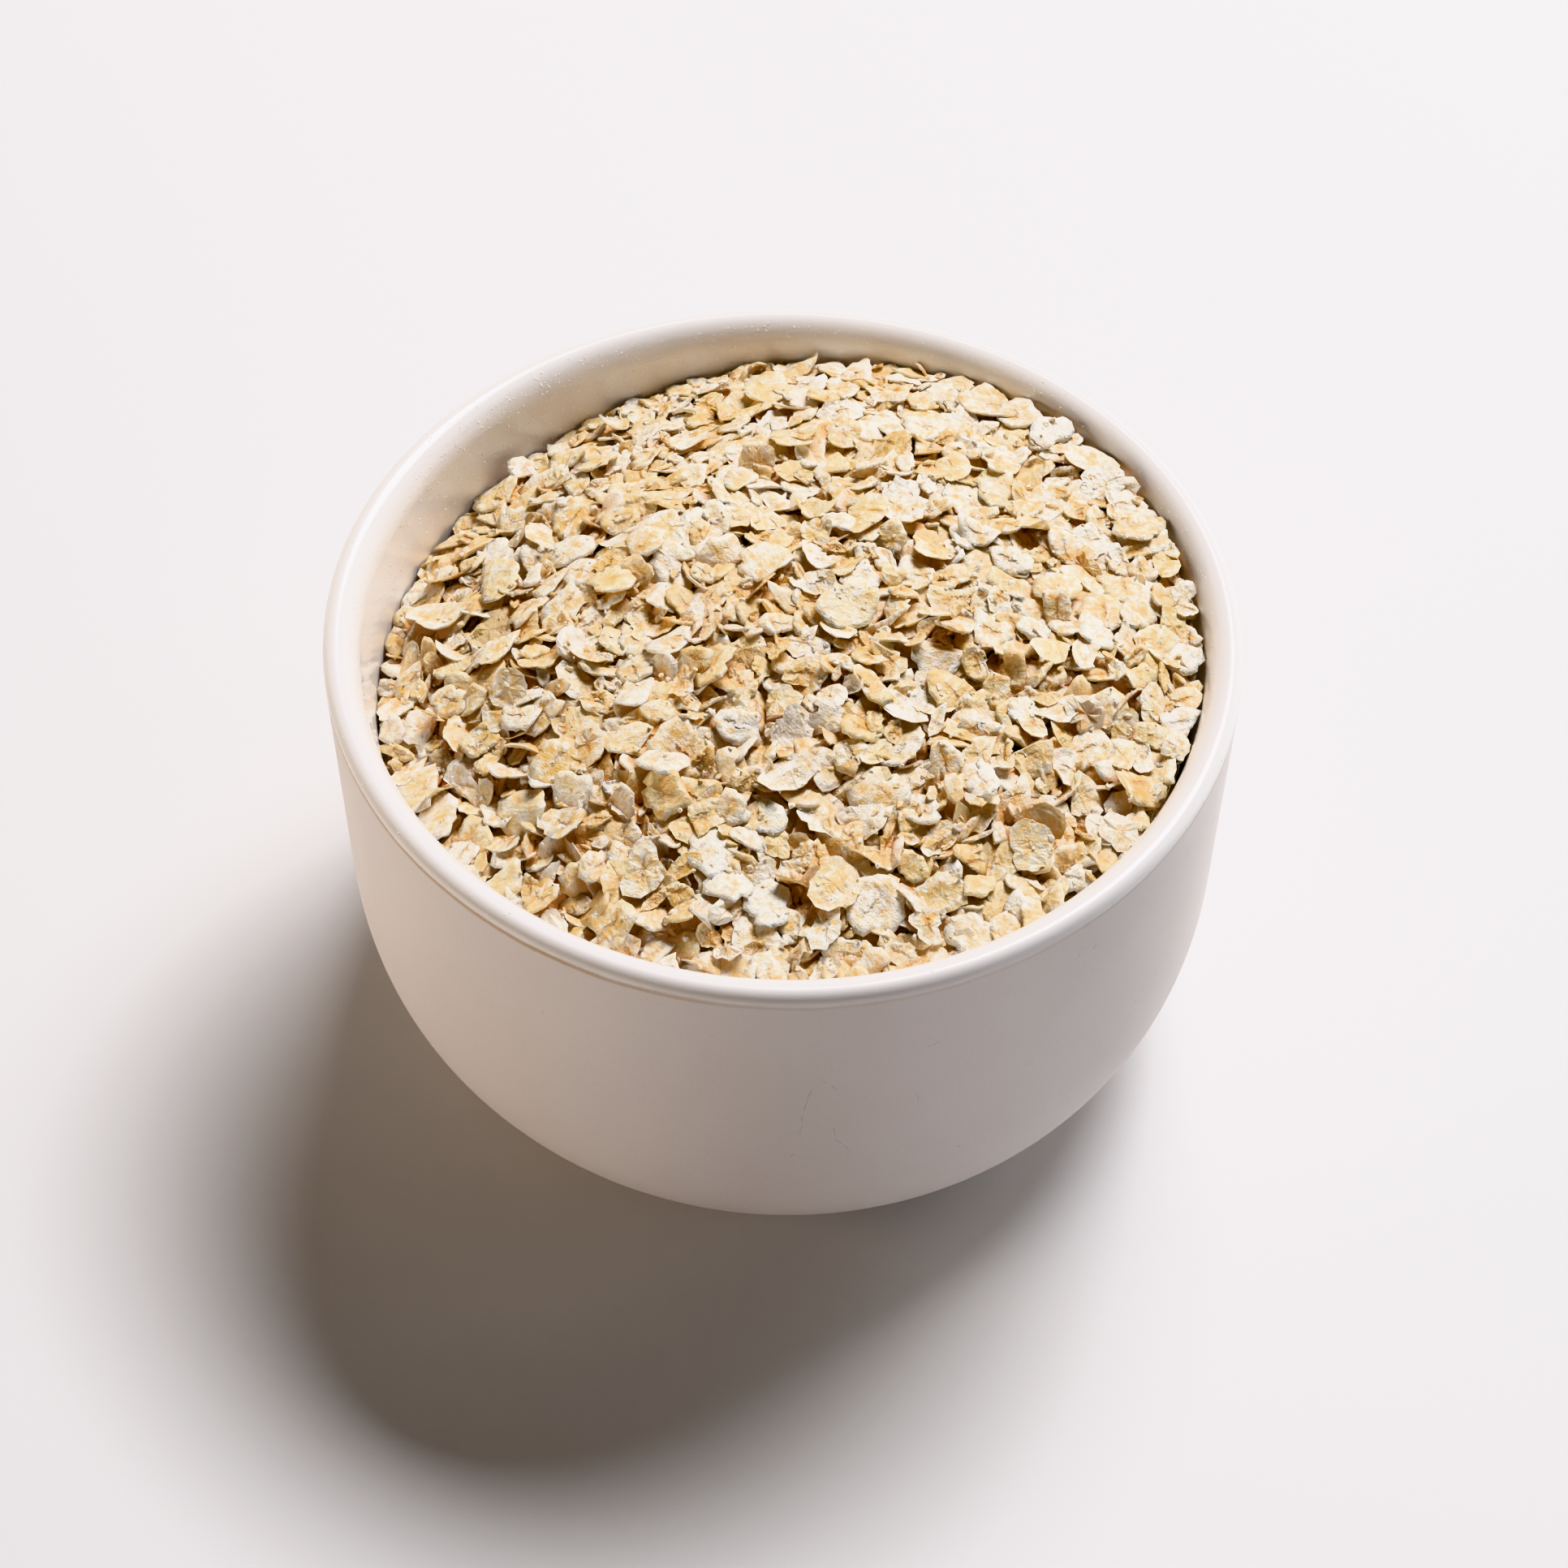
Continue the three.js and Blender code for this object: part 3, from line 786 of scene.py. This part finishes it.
def makeFlakes(name, flakes, rng):
    # every flake: its upper rim, a ring and the middle, and its lower rim under one face; height is the
    # curl, plus the dish, plus or minus half the thickness, plus a small random relief
    kind = kinds[name]
    sides, count = kind["sides"], len(flakes)
    angle, radius, curl, dish, place, axes = (
        np.stack([flake[key] for flake in flakes])
        for key in ("angle", "radius", "curl", "dish", "place", "axes")
    )
    rows, outward = [], []
    for row in flakeRows:
        many = sides if row["share"] > 0 else 1
        around, reach = angle[:, :many], radius[:, :many] * row["share"]
        if row["uneven"]:
            reach = reach * (1 + rng.normal(0, row["uneven"], reach.shape))
        u, v = reach * np.cos(around), reach * np.sin(around)
        bend = curl[:, :1] * u * u + curl[:, 1:2] * v * v + curl[:, 2:] * u * v
        # neighbours share their relief, so that it makes facets and not a fringe
        relief = rng.normal(0, row["relief"], (count, (many + 1) // 2)).repeat(2, 1)[:, :many]
        thick = row["side"] * kind["thick"][row["thick"]] / 2
        rows.append(np.stack([u, v, bend + row["hollow"] * dish[:, None] + thick + relief], -1))
        outward.append(np.full(many, row["share"]))
    flat = np.concatenate(rows, 1)
    points = np.einsum("cij,cpj->cpi", axes, flat) + place[:, None]
    # painted shade: steep flakes count as deeper, so that flour stays on level flakes and steep ones take
    # the same warm painted shade as those deeper down
    paintedShade = depthBelow(points, ground) + pile["bare"] * (1 - axes[:, 2, 2])[:, None]
    points[..., :2] *= outOfRound(np.arctan2(points[..., 1], points[..., 0]))[..., None]
    each = flat.shape[1]
    start = (np.arange(count) * each)[:, None, None]
    faces = [(part + start).reshape(-1, part.shape[1]) for part in flakeFaces(sides)]
    # the side between the two rims is flat, so that the edges are crisp; some flakes are facets all over
    even = rng.random((count, 1)) > kind["crumpled"]
    side = np.arange(2 * sides) >= sides
    soft = np.concatenate([(side & even).ravel(), np.repeat(even, sides), np.full(count, False)])
    piece = meshObject(name, points.reshape(-1, 3), faces, soft)
    for key in ("tone", "flour"):
        pointValues(piece, key, np.repeat(rng.uniform(*kind[key], count), each))
    # painted shade: how far each point lies down in the pile's gaps, or on a steep flake
    pointValues(piece, "paintedShade", paintedShade)
    pointValues(piece, "outward", np.tile(np.concatenate(outward), count))
    flatMap(piece, "flakeMap", flat[..., :2].reshape(-1, 2) / mapUnit)
    return piece


oat = {
    "flour": colour(255, 249, 236),
    "cream": colour(255, 232, 180),
    "honey": colour(241, 189, 104),
    "brown": colour(178, 110, 54),
    "yellow": colour(250, 206, 92),
    "bran": colour(240, 205, 144),
    "grey": colour(230, 198, 146),
    # warm brown of the painted shade in the pile's gaps and on steep flakes
    "paintedShade": colour(212, 149, 86),
    "coreDark": colour(120, 84, 48),
    "corePale": colour(205, 170, 118),
    "speck": colour(255, 253, 248),
}
# scale, detail and roughness of the noises
oatNoises = {
    "patches": (560, 3, 0.65), "lumps": (1000, 3, 0.6), "veins": (780, 2, 0.55), "grains": (3000, 2, 0.6),
}
foldScale = 650
oatShader = {
    "Roughness": 0.52, "Specular IOR Level": 1.0,
    "Subsurface Weight": 0.2, "Subsurface Radius": (1.0, 0.6, 0.3), "Subsurface Scale": 0.0009,
}


def oatMaterial(name, bran):
    # bran: 1 for the smooth outside of the grain, 0 for the floury cut
    material, start, shader = newMaterial(name, oatShader)
    place = objectPlace(start)
    names = ("tone", "flour", "paintedShade", "outward")
    tone, flour, paintedShade, outward = (pointValue(start, name) for name in names)
    along, across = start.node("ShaderNodeUVMap", {"uv_map": "flakeMap"}).parts()[:2]
    # every flake reads its own part of the patterns
    apart = {"X": tone * 0.37, "Y": flour * 0.53, "Z": tone * 0.11}
    shift = start.node("ShaderNodeCombineXYZ", None, apart)
    moved = start.node("ShaderNodeVectorMath", {"operation": "ADD"}, {0: place, 1: shift})
    patches, lumps, veins, grains = (noise(start, moved, *values) for values in oatNoises.values())
    # ribs across the flake, from a noise that is drawn out
    apart = {"X": along * 17 + tone * 50, "Y": across * 3.5, "Z": flour * 40}
    ribs = noise(start, start.node("ShaderNodeCombineXYZ", None, apart), 1.0, 2, 0.5)
    # the crease along the middle of the grain, on some flakes
    wave = (lumps - 0.5) * 0.1 + (patches - 0.5) * 0.14
    crease = abs(across + wave).below(0.0, 0.045) * abs(along).below(0.08, 0.2) * tone.above(0.5, 0.65)
    inputs = {0: place, 1: (foldScale, foldScale, foldScale), 2: shift}
    bent = start.node("ShaderNodeVectorMath", {"operation": "MULTIPLY_ADD"}, inputs)
    inputs = {"Vector": bent, "Scale": 1.0, "Detail": 1.0, "Roughness": 0.5}
    folds = start.node("ShaderNodeTexVoronoi", None, inputs)
    cracks = abs(veins - 0.5).below(0.0, 0.03) * patches.above(0.42, 0.56)
    inner = outward.below(0.2, 0.95)
    honey = (patches * 1.2 + inner * 0.16 + tone * 0.25 + ribs * 0.9 + lumps * 0.3).above(1.12, 1.85)
    shade = honey.mix(oat["cream"], oat["honey"])
    shade = (cracks * 0.35).mix(shade, oat["honey"])
    brown = (lumps + inner * 0.1 + tone * 0.08).above(0.78, 0.92) * 0.4 + crease * 0.5 + cracks * crease
    shade = brown.mix(shade, oat["brown"])
    yellow = patches.above(0.64, 0.72) * tone.above(0.8, 0.9) * 0.8
    shade = yellow.mix(shade, oat["yellow"])
    if bran:
        shade = (0.3 + 0.5 * patches).mix(shade, oat["bran"])
        shade = (tone.below(0.1, 0.5) * 0.6).mix(shade, oat["grey"])
    # painted shade: less flour deeper in the pile and on steep flakes
    dusty = veins * 0.85 + grains * 0.35 + flour * 0.34 + outward * 0.12 - honey * 0.15 - paintedShade * 0.3
    shade = (dusty.above(0.6, 0.98) * (0.6 if bran else 0.9)).mix(shade, oat["flour"])
    # painted shade: warm brown deeper in the pile and on steep flakes
    shade = (paintedShade.above(0.02, 0.75) * 0.88).mix(shade, oat["paintedShade"])
    plug(shade, shader, "Base Color")
    relief = folds * 0.12 + lumps * 0.5 + veins * 0.45 + grains * 0.2 + ribs * 0.35
    relief = relief - crease * 0.6 - cracks * 0.06
    emboss(relief * 0.6 if bran else relief, shader, 1.0, 0.0004)
    return material


def coreMaterial():
    material, start, shader = newMaterial("packedOats", {"Roughness": 0.9})
    speckle = noise(start, objectPlace(start), 700, 3, 0.6)
    plug(speckle.above(0.35, 0.7).mix(oat["coreDark"], oat["corePale"]), shader, "Base Color")
    emboss(speckle, shader, 1.0, 0.002)
    return material


dress(makeCore(), coreMaterial(), "oats")
dice = np.random.default_rng(11)
laid, ground = pileFlakes(dice)
floury = oatMaterial("flouryOat", 0)
branny = oatMaterial("branOat", 1)
for name in kinds:
    mine = [flake for flake in laid if flake["kind"] == name]
    dress(makeFlakes(name, mine, dice), branny if name == "branFlakes" else floury, "oats")


# Loose grains. size: range across in mm. tall: height as a share of the size. tilt: random lean. sunk,
# inset: below the flakes and from the wall, in mm. towards: directions in degrees and how many go there.
# spread: in degrees. onLip, lipSpread: how many lie on the lip and how far about its top. below: range
# down the inside. bare: how far under the oats' level. probe: step that the wall's slope is read with.
looseGrains = {
    "crumbs": {
        "count": 1600, "size": (0.3, 1.4), "tall": (0.1, 0.28), "tilt": 0.25, "sunk": 0.05, "inset": 1,
    },
    "flourSpecks": {
        "count": 4200, "size": (0.1, 0.4), "tall": (0.06, 0.22),
        "towards": {135: 0.42, 25: 0.2, 205: 0.2, 320: 0.06, 90: 0.12}, "spread": 24,
        "onLip": 0.12, "lipSpread": 1.6, "below": (2, 13), "bare": 0.5, "probe": 0.1,
    },
}
# Any grain. power: above 1 makes more small ones. radius, upper: shares for the rims. sunk: of its height.
grain = {"sides": 6, "power": 1.6, "spread": 0.35, "radius": (0.6, 1.25), "upper": (0.55, 0.85), "sunk": 0.3}


def makeGrains(name, places, ups, kind, rng):
    # uneven plates: a lower rim under one face, and a smaller upper rim under another
    count, sides = len(places), grain["sides"]
    small, large = kind["size"]
    size = small * (large / small) ** (rng.random((count, 1)) ** grain["power"])
    first = unit(np.cross(ups, rng.normal(size=(count, 3))))
    second = np.cross(ups, first)
    angle = unevenAngles(count, sides, grain["spread"], rng)
    radius = size / 2 * rng.uniform(*grain["radius"], (count, sides))
    u, v = (radius * np.cos(angle))[..., None], (radius * np.sin(angle))[..., None]
    across = u * first[:, None] + v * second[:, None]
    rise = (size * rng.uniform(*kind["tall"], (count, sides)))[..., None] * ups[:, None]
    lower = places[:, None] + across - grain["sunk"] * rise
    upper = places[:, None] + across * rng.uniform(*grain["upper"], (count, 1, 1)) + rise
    points = np.concatenate([lower, upper], 1).reshape(-1, 3)
    k = np.arange(sides)
    after = (k + 1) % sides
    around = np.stack([k, after, sides + after, sides + k], 1)
    caps = np.stack([k[::-1], sides + k])
    start = (np.arange(count) * 2 * sides)[:, None, None]
    faces = [(around + start).reshape(-1, 4), (caps + start).reshape(-1, sides)]
    piece = meshObject(name, points, faces, False)
    for key in ("tone", "flour"):
        pointValues(piece, key, np.repeat(rng.random(count), 2 * sides))
    return piece


def makeCrumbs(ground, rng):
    # scattered over the heap, each on the height map and along its slope
    height, line = ground
    kind = looseGrains["crumbs"]
    reach = (heap["radius"] - kind["inset"]) * rng.random(kind["count"]) ** 0.5
    turn = rng.uniform(0, fullTurn, kind["count"])
    x, y = reach * np.cos(turn), reach * np.sin(turn)
    i, j = np.searchsorted(line, x), np.searchsorted(line, y)
    step = line[1] - line[0]
    slopeX = ((height[i + 1, j] - height[i - 1, j]) / step / 2).clip(-1, 1)
    slopeY = ((height[i, j + 1] - height[i, j - 1]) / step / 2).clip(-1, 1)
    ups = np.stack([-slopeX, -slopeY, np.ones(len(x))], 1) + rng.normal(0, kind["tilt"], (len(x), 3))
    push = outOfRound(turn)
    places = np.stack([x * push, y * push, height[i, j] - kind["sunk"]], 1)
    return makeGrains("oatCrumbs", places, unit(ups), kind, rng)


def makeFlour(rng):
    # specks on the lip and the inside wall above the oats, thickest at the back left and the right
    kind = looseGrains["flourSpecks"]
    count = kind["count"]
    profile = bowlProfile()
    along, top = alongProfile(profile)

    def profileAt(where):
        return np.interp(where, along, profile[:, 0]), np.interp(where, along, profile[:, 1])

    towards = rng.choice(list(kind["towards"]), count, p=list(kind["towards"].values()))
    turn = np.radians(towards + rng.normal(0, kind["spread"], count))
    onLip = rng.random(count) < kind["onLip"]
    lip, wall = rng.normal(0, kind["lipSpread"], count), rng.uniform(*kind["below"], count)
    at = top + np.where(onLip, lip, wall)
    radius, z = profileAt(at)
    (farR, farZ), (nearR, nearZ) = profileAt(at + kind["probe"]), profileAt(at - kind["probe"])
    stepR, stepZ = farR - nearR, farZ - nearZ
    ups = unit(np.stack([stepZ * np.cos(turn), stepZ * np.sin(turn), -stepR], 1))
    push = outOfRound(turn)
    places = np.stack([radius * push * np.cos(turn), radius * push * np.sin(turn), z], 1)
    clear = z > edgeLevel(turn) - kind["bare"]
    return makeGrains("flourSpecks", places[clear], ups[clear], kind, rng)


def grainMaterial(name, pale, dark, speckled):
    # each grain between the pale and the dark colour
    material, start, shader = newMaterial(name, {"Roughness": 0.9, "Specular IOR Level": 0.2})
    speckle = noise(start, objectPlace(start), 2600, 2, 0.6)
    tone = pointValue(start, "tone") * 0.8 + speckle * 0.5
    plug(tone.above(0.3, 1.1).mix(pale, dark), shader, "Base Color")
    emboss(speckle, shader, speckled, 0.0002)
    return material


crumbLook = grainMaterial("oatCrumb", oat["flour"], oat["cream"], 1.0)
speckLook = grainMaterial("flourSpeck", oat["speck"], oat["flour"], 0.5)
dress(makeCrumbs(ground, dice), crumbLook, "oats")
dress(makeFlour(dice), speckLook, "oats")


studio = {"floor": colour(233, 232, 232), "floorSize": 8.0, "backdrop": colour(228, 226, 226)}
# towards and up: direction in degrees; far, wide and high in metres; power in watts
card = {"up": 8, "far": 2.0, "wide": 0.8, "high": 0.8}
lights = {
    "softKey": {
        "towards": 59, "up": 57, "far": 1.6, "wide": 1.0, "high": 0.5,
        "power": 34.4, "colour": (0.99, 0.97, 1.0),
    },
    "leftCard": {**card, "towards": 180, "power": 19.6, "colour": (1.0, 0.85, 0.68)},
    "frontCard": {**card, "towards": 225, "power": 6.8, "colour": (1.0, 0.79, 0.66)},
    "rightCard": {**card, "towards": 0, "power": 7.7, "colour": (0.84, 0.91, 1.0)},
    "backCard": {**card, "towards": 45, "power": 25.2, "colour": (1.0, 0.99, 0.97)},
}


def makeFloor():
    size = studio["floorSize"] / mm / 2
    points = [[-size, -size, 0], [size, -size, 0], [size, size, 0], [-size, size, 0]]
    floor = meshObject("paleFloor", points, [[[0, 1, 2, 3]]], smooth=False)
    fixed = {"Base Color": studio["floor"], "Roughness": 0.6, "Specular IOR Level": 0.2}
    floor.data.materials.append(newMaterial("palePaper", fixed)[0])


def makeLight(name, light):
    around, up = math.radians(light["towards"]), math.radians(light["up"])
    towards = Vector((math.cos(around) * math.cos(up), math.sin(around) * math.cos(up), math.sin(up)))
    place = towards * light["far"]
    data = bpy.data.lights.new(name, "AREA")
    data.shape = "ELLIPSE"
    data.size = light["wide"]
    data.size_y = light["high"]
    data.energy = light["power"]
    data.color = light["colour"]
    lamp = bpy.data.objects.new(name, data)
    lamp.location = place
    lamp.rotation_mode = "QUATERNION"
    lamp.rotation_quaternion = (-place).to_track_quat("-Z", "Y")
    lamp.visible_camera = False
    # the cards only fill; the key alone shows in the glaze
    lamp.visible_glossy = name == "softKey"
    scene.collection.objects.link(lamp)


def makeWorld():
    # pale where the camera looks past the floor, and no light on the bowl
    world = bpy.data.worlds.new("studio")
    world.use_nodes = True
    tree = world.node_tree
    background = tree.nodes["Background"]
    background.inputs["Color"].default_value = studio["backdrop"]
    path = tree.nodes.new("ShaderNodeLightPath")
    tree.links.new(path.outputs["Is Camera Ray"], background.inputs["Strength"])
    scene.world = world


camera = {
    "place": (0.26, -280.4, 389.3),
    "down": math.radians(51.593), "roll": math.radians(-0.506),
    "focalPixels": 4000.0, "framePixels": 1932.0, "sensor": 36.0, "nearest": 0.01,
}


def makeCamera():
    lens = bpy.data.cameras.new("camera")
    lens.sensor_width = camera["sensor"]
    lens.lens = camera["focalPixels"] / camera["framePixels"] * lens.sensor_width
    lens.clip_start = camera["nearest"]
    eye = bpy.data.objects.new("camera", lens)
    eye.location = Vector(camera["place"]) * mm
    eye.rotation_mode = "QUATERNION"
    tip = Matrix.Rotation(math.pi / 2 - camera["down"], 3, "X")
    eye.rotation_quaternion = (tip @ Matrix.Rotation(-camera["roll"], 3, "Z")).to_quaternion()
    scene.collection.objects.link(eye)
    scene.camera = eye


makeFloor()
for name, light in lights.items():
    makeLight(name, light)
makeWorld()
makeCamera()
scene.view_settings.view_transform = "Khronos PBR Neutral"
